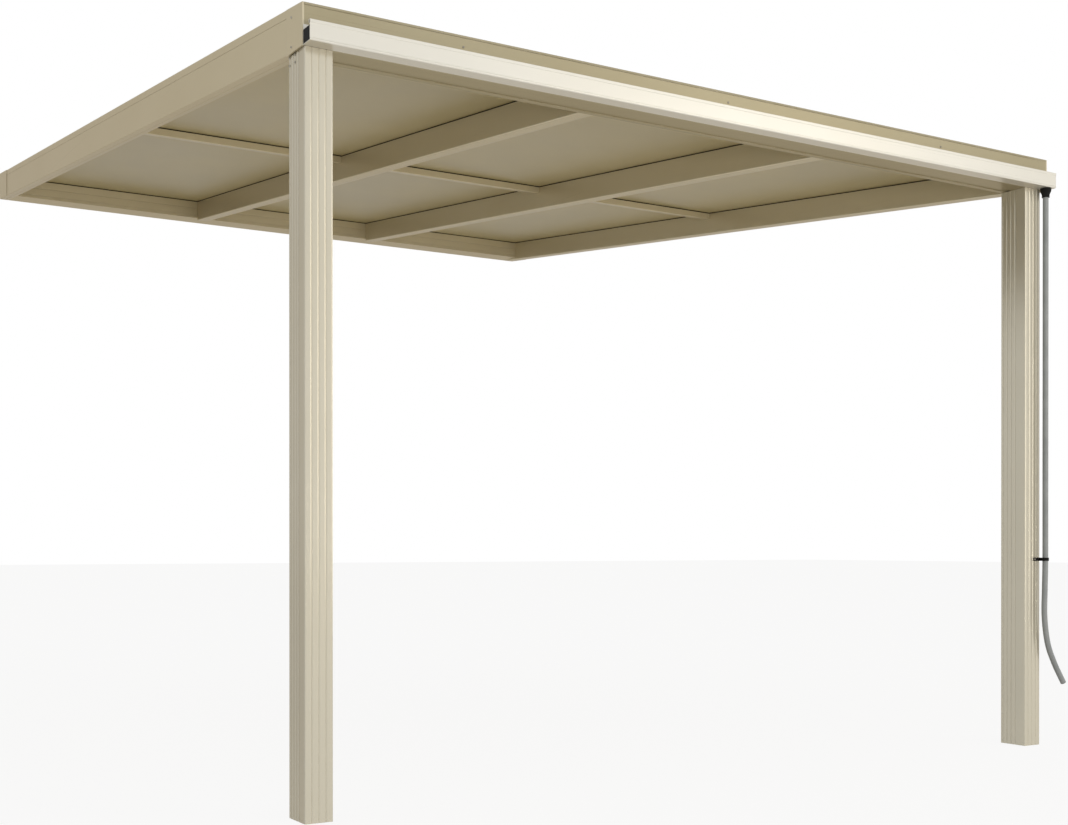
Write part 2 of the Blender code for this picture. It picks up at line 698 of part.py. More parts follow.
clear_scene()
PARTS = new_collection("patio_cover")
CUTTERS = new_collection("cutters")
CHAMPAGNE = finish("champagne_aluminium", (0.62, 0.58, 0.46), 0.32, 1.0)
BRONZE_SHEET = finish("bronze_polycarbonate", (0.30, 0.26, 0.19), 0.15)
RUBBER = finish("black_gasket", (0.02, 0.02, 0.02), 0.6)
BLACK_PLASTIC = finish("black_plastic", (0.015, 0.015, 0.015), 0.45)
GREY_HOSE = finish("grey_hose", (0.30, 0.31, 0.32), 0.5)
ROOT = bpy.data.objects.new("patio_cover_root", None)
PARTS.objects.link(ROOT)

make_posts()
make_beam()
make_gutter()
make_outlet()
make_hose()
make_hose_clip()
make_rafters()
make_crossbars()
make_glazing()
make_ledger()
make_end_covers()
bpy.context.view_layer.update()
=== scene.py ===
# %% [markdown]
# An attached patio cover: an aluminium frame with tinted sheets. A long ledger holds its high back edge,
# and two ribbed posts and a beam with a gutter carry its low front edge. The CAD model already holds each
# section at its real size, so this lesson adds what an eye notices next: the hollow hose, the screws, the
# finish of the metal, the tint of the sheets, and the light of a studio. Every length is in metres, in the
# frame of the CAD model.

import json
import math

import bmesh
import bpy
from mathutils import Matrix, Vector


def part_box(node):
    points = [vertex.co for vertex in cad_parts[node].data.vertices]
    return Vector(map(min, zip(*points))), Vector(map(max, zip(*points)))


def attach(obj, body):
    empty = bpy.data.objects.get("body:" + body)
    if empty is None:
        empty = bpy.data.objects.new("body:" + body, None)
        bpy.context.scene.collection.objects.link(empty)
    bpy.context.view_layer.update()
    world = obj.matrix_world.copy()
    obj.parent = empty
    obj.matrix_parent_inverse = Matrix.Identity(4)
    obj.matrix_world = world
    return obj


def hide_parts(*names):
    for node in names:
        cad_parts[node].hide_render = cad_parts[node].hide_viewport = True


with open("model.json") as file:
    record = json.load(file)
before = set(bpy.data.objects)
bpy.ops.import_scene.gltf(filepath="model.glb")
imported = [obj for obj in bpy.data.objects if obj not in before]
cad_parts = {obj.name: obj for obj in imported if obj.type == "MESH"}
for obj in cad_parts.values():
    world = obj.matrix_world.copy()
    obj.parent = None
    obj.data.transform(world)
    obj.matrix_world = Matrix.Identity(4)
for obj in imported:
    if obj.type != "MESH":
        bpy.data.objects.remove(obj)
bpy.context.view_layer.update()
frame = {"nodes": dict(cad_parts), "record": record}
nodes = frame["nodes"]
foot_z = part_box("post_left")[0].z
print(f"{len(nodes)} CAD nodes, the posts stand at {foot_z:.3f} m")

# %% [markdown]
# The camera comes first, because everything is judged through it. Its place and lens were worked out from
# the straight edges of the cover: the photograph was taken from low on the left, and it is a crop whose
# true centre lies lower than the middle of the picture. A lens shift gives that crop while the camera stays
# almost level, so the posts stay upright.

# %% Camera
PHOTO_WIDTH = 1068
PHOTO_HEIGHT = 825
FOCAL_LENGTH_PIXELS = 1426.7
PRINCIPAL_POINT = (523.5, 550.2)
SENSOR_WIDTH = 36.0
CAMERA_PLACE = (-3.423, -8.535, -2.059)
CAMERA_TURN_DEGREES = 31.497
CAMERA_PITCH_DEGREES = -0.159

lens = bpy.data.cameras.new("photo_camera")
lens.sensor_width = SENSOR_WIDTH
lens.lens = FOCAL_LENGTH_PIXELS * SENSOR_WIDTH / PHOTO_WIDTH
lens.shift_x = (PHOTO_WIDTH / 2 - PRINCIPAL_POINT[0]) / PHOTO_WIDTH
lens.shift_y = (PRINCIPAL_POINT[1] - PHOTO_HEIGHT / 2) / PHOTO_WIDTH
camera = bpy.data.objects.new("photo_camera", lens)
camera.location = CAMERA_PLACE
camera.rotation_euler = (math.radians(90 + CAMERA_PITCH_DEGREES), 0, math.radians(-CAMERA_TURN_DEGREES))
bpy.context.scene.collection.objects.link(camera)
bpy.context.scene.camera = camera
print(f"lens {lens.lens:.1f} mm, shift {lens.shift_x:.3f}, {lens.shift_y:.3f}")

# %% [markdown]
# Each new piece is a mesh whose points are already in the model's frame. It rides on the one body that this
# model has. The finish itself comes later.

# %% Adding a piece
SMOOTH_ANGLE = math.radians(35)


def add_piece(name, mesh):
    """Puts a mesh into the scene as a piece of the cover."""
    piece = bpy.data.objects.new(name, mesh)
    bpy.context.scene.collection.objects.link(piece)
    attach(piece, "root")
    return piece


def mesh_from(name, build):
    """A mesh that a function fills, with faces that point outwards and smooth curves."""
    shape = bmesh.new()
    build(shape)
    bmesh.ops.recalc_face_normals(shape, faces=shape.faces)
    mesh = bpy.data.meshes.new(name)
    shape.to_mesh(mesh)
    shape.free()
    mesh.shade_smooth()
    mesh.set_sharp_from_angle(angle=SMOOTH_ANGLE)
    return mesh


print(f"corners over {math.degrees(SMOOTH_ANGLE):.0f} degrees stay sharp")

# %% [markdown]
# Rain leaves the gutter through a black funnel and a flexible grey hose. The hose drops straight down
# beside the right post, a clip holds it, and below the clip it curls away and ends in a plain cut. A curve
# with a bevel would give a solid rod, so the hose is a tube mesh instead: its cut end shows a real wall and
# a dark bore. The free end is given as steps in x from the outlet and heights over the foot of the posts.

# %% The hose's route
HOSE_DIAMETER = 0.024
HOSE_WALL = 0.002
HOSE_SIDES = 32
HOSE_GAP = 0.0003
HOSE_STEPS = 120
DROP_POINTS = 5
HOSE_FREE_END = (
    (0.000, 0.802),
    (-0.003, 0.680),
    (-0.005, 0.557),
    (0.0155, 0.440),
    (0.059, 0.352),
    (0.1186, 0.2646),
)

outlet_low, outlet_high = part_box("gutter_outlet")
outlet_x = (outlet_low.x + outlet_high.x) / 2
outlet_y = (outlet_low.y + outlet_high.y) / 2
hose_top = Vector((outlet_x, outlet_y, outlet_low.z - HOSE_GAP))
hose_low = [Vector((outlet_x + x, outlet_y, foot_z + z)) for x, z in HOSE_FREE_END]
hose_drop = [hose_top.lerp(hose_low[0], i / DROP_POINTS) for i in range(DROP_POINTS)]


def smooth_route(points, count):
    """Points on a smooth curve through the given ones."""
    spans = len(points) - 1
    padded = [2 * points[0] - points[1]] + points + [2 * points[-1] - points[-2]]
    route = []
    for step in range(count + 1):
        along = step / count * spans
        span = min(int(along), spans - 1)
        t = along - span
        a, b, c, d = padded[span : span + 4]
        even = 2 * b + (2 * a - 5 * b + 4 * c - d) * t**2
        odd = (c - a) * t + (3 * b - a - 3 * c + d) * t**3
        route.append((even + odd) / 2)
    return route


hose_route = smooth_route(hose_drop + hose_low, HOSE_STEPS)

# %% [markdown]
# A tube is a row of rings. Each ring stands square to the route, and faces join it to the next one. Two
# such walls, one inside the other, are closed by a flat ring at each end. The route stays in one upright
# plane, so one direction of every ring is the same, and the tube can't twist.

# %% The hose as a tube with an open end
def ring(shape, centre, direction, radius, sides):
    """A ring of points round a route that stays in one upright plane, parallel to the cover's front."""
    across = Vector((0, 1, 0))
    up = direction.cross(across).normalized()
    turns = [2 * math.pi * i / sides for i in range(sides)]
    return [shape.verts.new(centre + radius * (math.cos(t) * across + math.sin(t) * up)) for t in turns]


def bridge(shape, first, second):
    """Faces between two rings with equally many points."""
    count = len(first)
    for i in range(count):
        j = (i + 1) % count
        shape.faces.new((first[i], first[j], second[j], second[i]))


def directions_of(route):
    """The way a route runs at each of its points."""
    last = len(route) - 1
    return [(route[min(i + 1, last)] - route[max(i - 1, 0)]).normalized() for i in range(last + 1)]


def build_hose(shape):
    """An outer and an inner wall along the whole route, joined by a ring at each end."""
    ways = directions_of(hose_route)
    outer = [ring(shape, p, w, HOSE_DIAMETER / 2, HOSE_SIDES) for p, w in zip(hose_route, ways)]
    inner = [ring(shape, p, w, HOSE_DIAMETER / 2 - HOSE_WALL, HOSE_SIDES) for p, w in zip(hose_route, ways)]
    for wall in (outer, inner):
        for first, second in zip(wall, wall[1:]):
            bridge(shape, first, second)
    bridge(shape, outer[0], inner[0])
    bridge(shape, outer[-1], inner[-1])


hose = add_piece("drain_hose_tube", mesh_from("drain_hose_tube", build_hose))
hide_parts("drain_hose")
print(f"hose tube has {len(hose.data.polygons)} faces")

# %% [markdown]
# The CAD model leaves out the self-tapping screws that hold such a frame together. A head is a disc of
# rings that rises to a dome, and its cross recess is pressed in by lowering the points inside a cross. A
# cylinder with a picture of a cross would look flat as soon as light rakes over it.

# %% One pan head screw
SCREW_RADIUS = 0.0042
SCREW_HEIGHT = 0.0020
SCREW_RINGS = 14
SCREW_SEGMENTS = 40
RECESS_HALF_WIDTH = 0.16
RECESS_REACH = 0.58
RECESS_DEPTH = 0.55
FIRST_TURN = 0.4
NEXT_TURN = 1.1


def screw_height(across, up):
    """Height of the head over its seat, as a share, at a place given as shares of its radius."""
    out = math.hypot(across, up)
    dome = math.sqrt(max(0.0, 1 - out**4))
    narrow, long = sorted((abs(across), abs(up)))
    in_cross = narrow < RECESS_HALF_WIDTH and long < RECESS_REACH
    return dome - (RECESS_DEPTH if in_cross else 0.0)


def add_screw(shape, centre, outward, turn):
    """One screw head whose seat lies at the centre and whose dome points outwards."""
    axis = Vector(outward).normalized()
    side = axis.orthogonal().normalized()
    side.rotate(Matrix.Rotation(turn, 3, axis))
    other = axis.cross(side)
    rows = []
    for i in range(1, SCREW_RINGS + 1):
        out = i / SCREW_RINGS
        row = []
        for j in range(SCREW_SEGMENTS):
            angle = 2 * math.pi * j / SCREW_SEGMENTS
            u, v = out * math.cos(angle), out * math.sin(angle)
            lift = screw_height(u, v) * SCREW_HEIGHT
            point = Vector(centre) + side * u * SCREW_RADIUS + other * v * SCREW_RADIUS + axis * lift
            row.append(shape.verts.new(point))
        rows.append(row)
    peak = shape.verts.new(Vector(centre) + axis * screw_height(0, 0) * SCREW_HEIGHT)
    for j in range(SCREW_SEGMENTS):
        shape.faces.new((peak, rows[0][j], rows[0][(j + 1) % SCREW_SEGMENTS]))
    for first, second in zip(rows, rows[1:]):
        bridge(shape, first, second)
    shape.faces.new(rows[-1])


def add_screws(name, places):
    """A set of screws as one piece. Each place is a point and the way the head faces there."""

    def build(shape):
        for i, (centre, outward) in enumerate(places):
            add_screw(shape, centre, outward, FIRST_TURN + NEXT_TURN * i)

    return add_piece(name, mesh_from(name, build))


print(f"a screw head is {2000 * SCREW_RADIUS:.1f} mm wide and {1000 * SCREW_HEIGHT:.1f} mm high")

# %% [markdown]
# The left end of the beam and the left post show their screws in the photograph, and the beam's face shows
# three small marks one rafter spacing apart, taken here as screws. The right end is seen from the wrong
# side, so its screws mirror the left ones. The clip of the hose needs one screw too.

# %% Screws of the frame
SEAT = 0.0001
cap_left_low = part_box("beam_end_cap_left")[0]
cap_right_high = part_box("beam_end_cap_right")[1]
post_left_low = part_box("post_left")[0]
post_right_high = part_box("post_right")[1]
beam_front_y = cap_left_low.y
beam_bottom_z = cap_left_low.z
LEFT = (-1, 0, 0)
RIGHT = (1, 0, 0)
FRONT = (0, -1, 0)

END_PLATE_SCREWS = ((0.088, 0.112), (0.089, 0.019))
end_plate_places = []
for back, up in END_PLATE_SCREWS:
    y, z = beam_front_y + back, beam_bottom_z + up
    end_plate_places.append(((cap_left_low.x - SEAT, y, z), LEFT))
    end_plate_places.append(((cap_right_high.x + SEAT, y, z), RIGHT))
end_plate_screws = add_screws("end_plate_screws", end_plate_places)

POST_SCREW_DEPTHS = (0.078, 0.1225)
POST_SCREW_DROPS = (0.001, 0.025)
post_places = []
for back in POST_SCREW_DEPTHS:
    for drop in POST_SCREW_DROPS:
        y, z = beam_front_y + back, beam_bottom_z - drop - SCREW_RADIUS
        post_places.append(((post_left_low.x - SEAT, y, z), LEFT))
        post_places.append(((post_right_high.x + SEAT, y, z), RIGHT))
post_screws = add_screws("post_screws", post_places)

FACE_SCREWS_X = (-1.1425, -0.0250, 1.0950)
FACE_SCREW_HEIGHT = 0.096
face_places = [((x, beam_front_y - SEAT, beam_bottom_z + FACE_SCREW_HEIGHT), FRONT) for x in FACE_SCREWS_X]
beam_face_screws = add_screws("beam_face_screws", face_places)

CLIP_SCREW_IN = 0.009
CLIP_TAB_THICKNESS = 0.0025
clip_low, clip_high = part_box("hose_clip")
clip_face_y = clip_high.y - CLIP_TAB_THICKNESS
clip_middle_z = (clip_low.z + clip_high.z) / 2
clip_place = (clip_low.x + CLIP_SCREW_IN, clip_face_y - SEAT, clip_middle_z)
clip_screw = add_screws("clip_screw", [(clip_place, FRONT)])
print(f"{len(end_plate_places) + len(post_places) + len(face_places) + 1} screws")

# %% [markdown]
# Materials start with one small helper that adds a node with its values and links, and one that makes a
# node group. A group is built once and used by several materials, each with its own numbers. That keeps the
# dust on the metal, on the sheets and on the plastic the same kind of dust.

# %% Helpers for node trees
VALUE = "NodeSocketFloat"
VECTOR = "NodeSocketVector"
# The Mix node lists sockets for every kind of data. These are the ones for colours.
MIX_SHARE, MIX_FIRST, MIX_SECOND = 0, 6, 7
MIX_RESULT = 2


def put(tree, kind, inputs=None, **settings):
    """A node in a tree. Each input is given a value, or a socket to be linked to."""
    node = tree.nodes.new(kind)
    for key, value in settings.items():
        setattr(node, key, value)
    for key, value in (inputs or {}).items():
        if isinstance(value, bpy.types.NodeSocket):
            tree.links.new(value, node.inputs[key])
        else:
            node.inputs[key].default_value = value
    return node


def maths(tree, operation, first, second=0.0, clamp=False):
    """One step of arithmetic."""
    node = put(tree, "ShaderNodeMath", {0: first, 1: second}, operation=operation, use_clamp=clamp)
    return node.outputs[0]


def blend_colours(tree, share, first, second):
    """A mix of two colours, each a socket or a colour."""
    inputs = {MIX_SHARE: share, MIX_FIRST: first, MIX_SECOND: second}
    return put(tree, "ShaderNodeMix", inputs, data_type="RGBA").outputs[MIX_RESULT]


def remap(tree, value, low, high, to_low=0.0, to_high=1.0):
    """A value brought from one range to another, and held within it."""
    inputs = {"Value": value, "From Min": low, "From Max": high, "To Min": to_low, "To Max": to_high}
    return put(tree, "ShaderNodeMapRange", inputs, clamp=True).outputs["Result"]


def new_group(name, inputs, outputs):
    """An empty shader node group with named sockets."""
    group = bpy.data.node_groups.new(name, "ShaderNodeTree")
    for label, (kind, value) in inputs.items():
        socket = group.interface.new_socket(label, in_out="INPUT", socket_type=kind)
        if value is not None:
            socket.default_value = value
    for label, kind in outputs.items():
        group.interface.new_socket(label, in_out="OUTPUT", socket_type=kind)
    entry = group.nodes.new("NodeGroupInput")
    leave = group.nodes.new("NodeGroupOutput")
    return group, entry.outputs, leave.inputs


def use_group(tree, group, inputs):
    """One use of a group in a material."""
    node = tree.nodes.new("ShaderNodeGroup")
    node.node_tree = group
    for key, value in inputs.items():
        if isinstance(value, bpy.types.NodeSocket):
            tree.links.new(value, node.inputs[key])
        else:
            node.inputs[key].default_value = value
    return node.outputs


print("helpers for node trees ready")

# %% [markdown]
# Aluminium sections are pressed through a die, which leaves fine lines along their length. Noise that is
# stretched some thousandfold along one axis gives such lines on every face of the section at once, which a
# brushed picture could not do without stretching at the corners.

# %% Die lines
die_lines, given, result = new_group(
    "die_lines",
    {"Vector": (VECTOR, None), "Stretch": (VECTOR, None), "Contrast": (VALUE, 0.2)},
    {"Lines": VALUE},
)
factors = {0: given["Vector"], 1: given["Stretch"]}
stretched = put(die_lines, "ShaderNodeVectorMath", factors, operation="MULTIPLY")
streaks = put(
    die_lines,
    "ShaderNodeTexNoise",
    {"Vector": stretched.outputs[0], "Scale": 1.0, "Detail": 4.0, "Roughness": 0.62},
)
low_end = maths(die_lines, "SUBTRACT", 0.5, given["Contrast"])
high_end = maths(die_lines, "ADD", 0.5, given["Contrast"])
lines = put(
    die_lines,
    "ShaderNodeMapRange",
    {"Value": streaks.outputs["Fac"], "From Min": low_end, "From Max": high_end},
)
die_lines.links.new(lines.outputs["Result"], result["Lines"])
print("die lines group ready")

# %% [markdown]
# Corners of real sections are never perfectly sharp, and the anodised layer wears thin there first. The
# bevel node gives the normal that a rounded edge would have. Where it differs from the face's own normal
# there is an edge, so the same node yields both a soft glint and a mask for wear.

# %% Worn edges
worn_edges, given, result = new_group(
    "worn_edges",
    {"Vector": (VECTOR, None), "Radius": (VALUE, 0.001), "Spread": (VALUE, 8.0)},
    {"Mask": VALUE, "Normal": VECTOR},
)
rounded_edge = put(worn_edges, "ShaderNodeBevel", {"Radius": given["Radius"]}, samples=4)
true_face = put(worn_edges, "ShaderNodeNewGeometry")
agree = put(
    worn_edges,
    "ShaderNodeVectorMath",
    {0: rounded_edge.outputs["Normal"], 1: true_face.outputs["Normal"]},
    operation="DOT_PRODUCT",
)
differ = maths(worn_edges, "SUBTRACT", 1.0, agree.outputs["Value"])
edge = maths(worn_edges, "MULTIPLY", differ, given["Spread"], clamp=True)
patches = put(worn_edges, "ShaderNodeTexNoise", {"Vector": given["Vector"], "Scale": 22.0, "Detail": 5.0})
patchy = remap(worn_edges, patches.outputs["Fac"], 0.42, 0.66)
worn_edges.links.new(maths(worn_edges, "MULTIPLY", edge, patchy), result["Mask"])
worn_edges.links.new(rounded_edge.outputs["Normal"], result["Normal"])
print("worn edges group ready")

# %% [markdown]
# Outdoors, dust settles on whatever faces the sky and rain draws it into soft patches. The mask asks how
# far a face points upwards, and breaks that up with two sizes of noise.

# %% Settled dust
settled_dust, given, result = new_group(
    "settled_dust",
    {"Vector": (VECTOR, None), "Amount": (VALUE, 0.5)},
    {"Mask": VALUE},
)
facing = put(settled_dust, "ShaderNodeNewGeometry")
parts = put(settled_dust, "ShaderNodeSeparateXYZ", {"Vector": facing.outputs["Normal"]})
upward = remap(settled_dust, parts.outputs["Z"], 0.2, 0.95)
broad = put(settled_dust, "ShaderNodeTexNoise", {"Vector": given["Vector"], "Scale": 3.0, "Detail": 6.0})
fine = put(settled_dust, "ShaderNodeTexNoise", {"Vector": given["Vector"], "Scale": 60.0, "Detail": 3.0})
cloud = maths(
    settled_dust,
    "MULTIPLY",
    remap(settled_dust, broad.outputs["Fac"], 0.35, 0.7),
    remap(settled_dust, fine.outputs["Fac"], 0.2, 0.8, 0.5, 1.0),
)
settled = maths(settled_dust, "MULTIPLY", upward, cloud)
dust = maths(settled_dust, "MULTIPLY", settled, given["Amount"], clamp=True)
settled_dust.links.new(dust, result["Mask"])
print("settled dust group ready")

# %% [markdown]
# Dried drops leave pale rings on glossy sheets. A Voronoi texture has a centre for each drop, and the ring
# is a narrow band of distances round that centre. A broad noise keeps most of the sheet free of them.

# %% Dried drops
dried_drops, given, result = new_group(
    "dried_drops",
    {"Vector": (VECTOR, None), "Scale": (VALUE, 60.0), "Amount": (VALUE, 0.5)},
    {"Mask": VALUE},
)
cells = put(dried_drops, "ShaderNodeTexVoronoi", {"Vector": given["Vector"], "Scale": given["Scale"]})
rise = remap(dried_drops, cells.outputs["Distance"], 0.16, 0.24)
fall = remap(dried_drops, cells.outputs["Distance"], 0.24, 0.30, 1.0, 0.0)
where = put(dried_drops, "ShaderNodeTexNoise", {"Vector": given["Vector"], "Scale": 2.2, "Detail": 3.0})
rings = maths(dried_drops, "MULTIPLY", maths(dried_drops, "MULTIPLY", rise, fall), given["Amount"])
drops = maths(dried_drops, "MULTIPLY", rings, remap(dried_drops, where.outputs["Fac"], 0.45, 0.7))
dried_drops.links.new(drops, result["Mask"])
print("dried drops group ready")

# %% [markdown]
# The frame looks like aluminium that was anodised in a pale champagne and etched to a satin. About half of
# the shader is metal and the rest is paint: a pure metal would only mirror the white studio, and the paint
# keeps the tone at every angle. The roughness follows the die lines, and dust dulls what faces up. In such
# a finish the tint lies in a clear layer, and light that grazes a face runs through more of it, so a dark
# Specular Tint deepens the tone at flat angles. One function makes the finish for each direction that a
# section runs in, because the lines follow its length.

# %% Champagne aluminium
CHAMPAGNE = ((0.600, 0.535, 0.380, 1.0), (0.675, 0.615, 0.465, 1.0))
# The beam's darker tone is painted shade: it stands for the shade and dark reflections on its face and
# underside.
BEAM_PAINTED_SHADE_CHAMPAGNE = ((0.360, 0.315, 0.205, 1.0), (0.430, 0.385, 0.265, 1.0))
POST_CHAMPAGNE = ((0.560, 0.525, 0.425, 1.0), (0.640, 0.608, 0.515, 1.0))
# The gutter's near-white tone is a painted highlight: it stands for the light that its face throws back.
GUTTER_PAINTED_HIGHLIGHT_CHAMPAGNE = ((0.700, 0.680, 0.612, 1.0), (0.780, 0.768, 0.715, 1.0))
BARE_METAL = (0.80, 0.79, 0.76, 1.0)
DUST = (0.42, 0.37, 0.29, 1.0)
LINE_DENSITY = 900.0
LINE_LENGTH = 0.25
METAL_ROUGHNESS = 0.29
POST_ROUGHNESS = 0.20
METAL_GLOSS = 0.25
METAL_SHARE = 0.52
GRAZING_TONE = (0.40, 0.30, 0.16, 1.0)
LINES_IN_TONE = 0.15
WEAR_SHOWS = 0.5
DUST_SHOWS = 0.7
DUST_ROUGHENS = 0.35
METAL_SHARE_IN_DUST = 0.2


def new_material(name):
    """A material with its Principled shader, its tree and its object coordinates."""
    material = bpy.data.materials.new(name)
    material.use_nodes = True
    tree = material.node_tree
    place = tree.nodes.new("ShaderNodeTexCoord").outputs["Object"]
    return material, tree, tree.nodes["Principled BSDF"], place


def champagne_aluminium(name, along, tones, roughness=METAL_ROUGHNESS):
    """The finish of a section that runs along axis 0, 1 or 2, for X, Y or Z. Tones are its two colours."""
    material, tree, shader, place = new_material(name)
    stretch = [LINE_DENSITY] * 3
    stretch[along] = LINE_LENGTH
    drawn = use_group(tree, die_lines, {"Vector": place, "Stretch": stretch, "Contrast": 0.24})
    edges = use_group(tree, worn_edges, {"Vector": place, "Radius": 0.0012, "Spread": 5.0})
    dusty = use_group(tree, settled_dust, {"Vector": place, "Amount": 0.55})
    drift = put(tree, "ShaderNodeTexNoise", {"Vector": place, "Scale": 1.7, "Detail": 4.0})
    tone = maths(tree, "MULTIPLY_ADD", drawn["Lines"], LINES_IN_TONE)
    tree.links.new(maths(tree, "MULTIPLY", drift.outputs["Fac"], 1 - LINES_IN_TONE), tone.node.inputs[2])
    colour = blend_colours(tree, tone, *tones)
    colour = blend_colours(tree, maths(tree, "MULTIPLY", edges["Mask"], WEAR_SHOWS), colour, BARE_METAL)
    colour = blend_colours(tree, maths(tree, "MULTIPLY", dusty["Mask"], DUST_SHOWS), colour, DUST)
    tree.links.new(colour, shader.inputs["Base Color"])
    rough = remap(tree, drawn["Lines"], 0.0, 1.0, roughness - 0.02, roughness + 0.03)
    rough = maths(tree, "ADD", rough, maths(tree, "MULTIPLY", dusty["Mask"], DUST_ROUGHENS), clamp=True)
    tree.links.new(rough, shader.inputs["Roughness"])
    metal = remap(tree, dusty["Mask"], 0.0, 1.0, METAL_SHARE, METAL_SHARE_IN_DUST)
    tree.links.new(metal, shader.inputs["Metallic"])
    shader.inputs["Specular IOR Level"].default_value = METAL_GLOSS
    shader.inputs["Specular Tint"].default_value = GRAZING_TONE
    bump = put(
        tree,
        "ShaderNodeBump",
        {"Strength": 0.05, "Distance": 0.0002, "Height": drawn["Lines"], "Normal": edges["Normal"]},
    )
    tree.links.new(bump.outputs["Normal"], shader.inputs["Normal"])
    return material


along_width = champagne_aluminium("champagne_aluminium_across", 0, CHAMPAGNE)
along_depth = champagne_aluminium("champagne_aluminium_sloping", 1, CHAMPAGNE)
along_height = champagne_aluminium("champagne_aluminium_upright", 2, POST_CHAMPAGNE, POST_ROUGHNESS)
# The beam and the gutter take copies of the same finish, with painted shade and a painted highlight in
# their tones.
beam_painted_shade_finish = champagne_aluminium("champagne_aluminium_beam_painted_shade", 0, BEAM_PAINTED_SHADE_CHAMPAGNE)
gutter_painted_highlight_finish = champagne_aluminium("champagne_aluminium_gutter_painted_highlight", 0, GUTTER_PAINTED_HIGHLIGHT_CHAMPAGNE)
print("five finishes of champagne aluminium")

# %% [markdown]
# The sheets are taken as tinted polycarbonate: bronze, with a soft gloss, and clear enough to pass a dim
# brown light. Seen from below at a flat angle their sheen is at its strongest. A broad, very shallow bump
# breaks it up, because no plastic sheet lies truly flat. The upper face gathers dust and dried drops.

# %% Bronze sheet
BRONZE = (0.540, 0.450, 0.230, 1.0)
BRONZE_PALE = (0.650, 0.555, 0.320, 1.0)
BRONZE_SHEEN = (1.000, 0.840, 0.580, 1.0)
SHEET_DUST = (0.40, 0.36, 0.30, 1.0)
SHEET_ROUGHNESS = 0.38
SHEET_GLOSS = 0.08
SHEET_CLEARNESS = 0.30
POLYCARBONATE_IOR = 1.58
GRIME_SHOWS = 0.6
GRIME_ROUGHENS = 0.5


def bronze_polycarbonate():
    """The finish of the sheets, with dust and dried drops on their upper face."""
    material, tree, shader, place = new_material("bronze_polycarbonate")
    dusty = use_group(tree, settled_dust, {"Vector": place, "Amount": 0.5})
    dropped = use_group(tree, dried_drops, {"Vector": place, "Scale": 55.0, "Amount": 0.25})
    facing = put(tree, "ShaderNodeNewGeometry")
    parts = put(tree, "ShaderNodeSeparateXYZ", {"Vector": facing.outputs["Normal"]})
    on_top = remap(tree, parts.outputs["Z"], 0.5, 0.9)
    marks = maths(tree, "MULTIPLY", dropped["Mask"], on_top)
    drift = put(tree, "ShaderNodeTexNoise", {"Vector": place, "Scale": 1.3, "Detail": 5.0})
    colour = blend_colours(tree, remap(tree, drift.outputs["Fac"], 0.3, 0.7), BRONZE, BRONZE_PALE)
    grime = maths(tree, "MAXIMUM", maths(tree, "MULTIPLY", dusty["Mask"], GRIME_SHOWS), marks)
    colour = blend_colours(tree, grime, colour, SHEET_DUST)
    tree.links.new(colour, shader.inputs["Base Color"])
    rough = remap(tree, drift.outputs["Fac"], 0.3, 0.7, SHEET_ROUGHNESS - 0.02, SHEET_ROUGHNESS + 0.06)
    rough = maths(tree, "ADD", rough, maths(tree, "MULTIPLY", grime, GRIME_ROUGHENS), clamp=True)
    tree.links.new(rough, shader.inputs["Roughness"])
    shader.inputs["Transmission Weight"].default_value = SHEET_CLEARNESS
    shader.inputs["IOR"].default_value = POLYCARBONATE_IOR
    shader.inputs["Specular IOR Level"].default_value = SHEET_GLOSS
    shader.inputs["Specular Tint"].default_value = BRONZE_SHEEN
    swell = put(tree, "ShaderNodeTexNoise", {"Vector": place, "Scale": 2.4, "Detail": 1.0})
    bump = put(tree, "ShaderNodeBump", {"Strength": 0.3, "Distance": 0.006, "Height": swell.outputs["Fac"]})
    tree.links.new(bump.outputs["Normal"], shader.inputs["Normal"])
    return material


bronze_sheet = bronze_polycarbonate()
print("bronze sheet ready")

# %% [markdown]
# The small parts are plastic, rubber and steel. One function gives them all a grained skin, two tones in
# soft patches and dust on what faces up. Gaskets and plugs are almost black and dull, and the hose is a
# satin vinyl. The screws use the same function and are turned into metal afterwards.

# %% Plastic, rubber and steel
DULL_GLOSS = 0.04
BLOOM_SHOWS = 0.5
GRAIN_IN_ROUGHNESS = 0.06


def moulded(name, dark, pale, roughness, grain_scale, grain_depth):
    """The finish of a small part, with a grained skin and a bloom of dust on what faces up."""
    material, tree, shader, place = new_material(name)
    grain = put(tree, "ShaderNodeTexNoise", {"Vector": place, "Scale": grain_scale, "Detail": 4.0})
    patch = put(tree, "ShaderNodeTexNoise", {"Vector": place, "Scale": 14.0, "Detail": 3.0})
    dusty = use_group(tree, settled_dust, {"Vector": place, "Amount": 0.7})
    colour = blend_colours(tree, remap(tree, patch.outputs["Fac"], 0.3, 0.7), dark, pale)
    colour = blend_colours(tree, maths(tree, "MULTIPLY", dusty["Mask"], BLOOM_SHOWS), colour, DUST)
    tree.links.new(colour, shader.inputs["Base Color"])
    smooth, coarse = roughness - GRAIN_IN_ROUGHNESS, roughness + GRAIN_IN_ROUGHNESS
    tree.links.new(remap(tree, grain.outputs["Fac"], 0.3, 0.7, smooth, coarse), shader.inputs["Roughness"])
    relief = {"Strength": 0.5, "Distance": grain_depth, "Height": grain.outputs["Fac"]}
    bump = put(tree, "ShaderNodeBump", relief)
    tree.links.new(bump.outputs["Normal"], shader.inputs["Normal"])
    return material


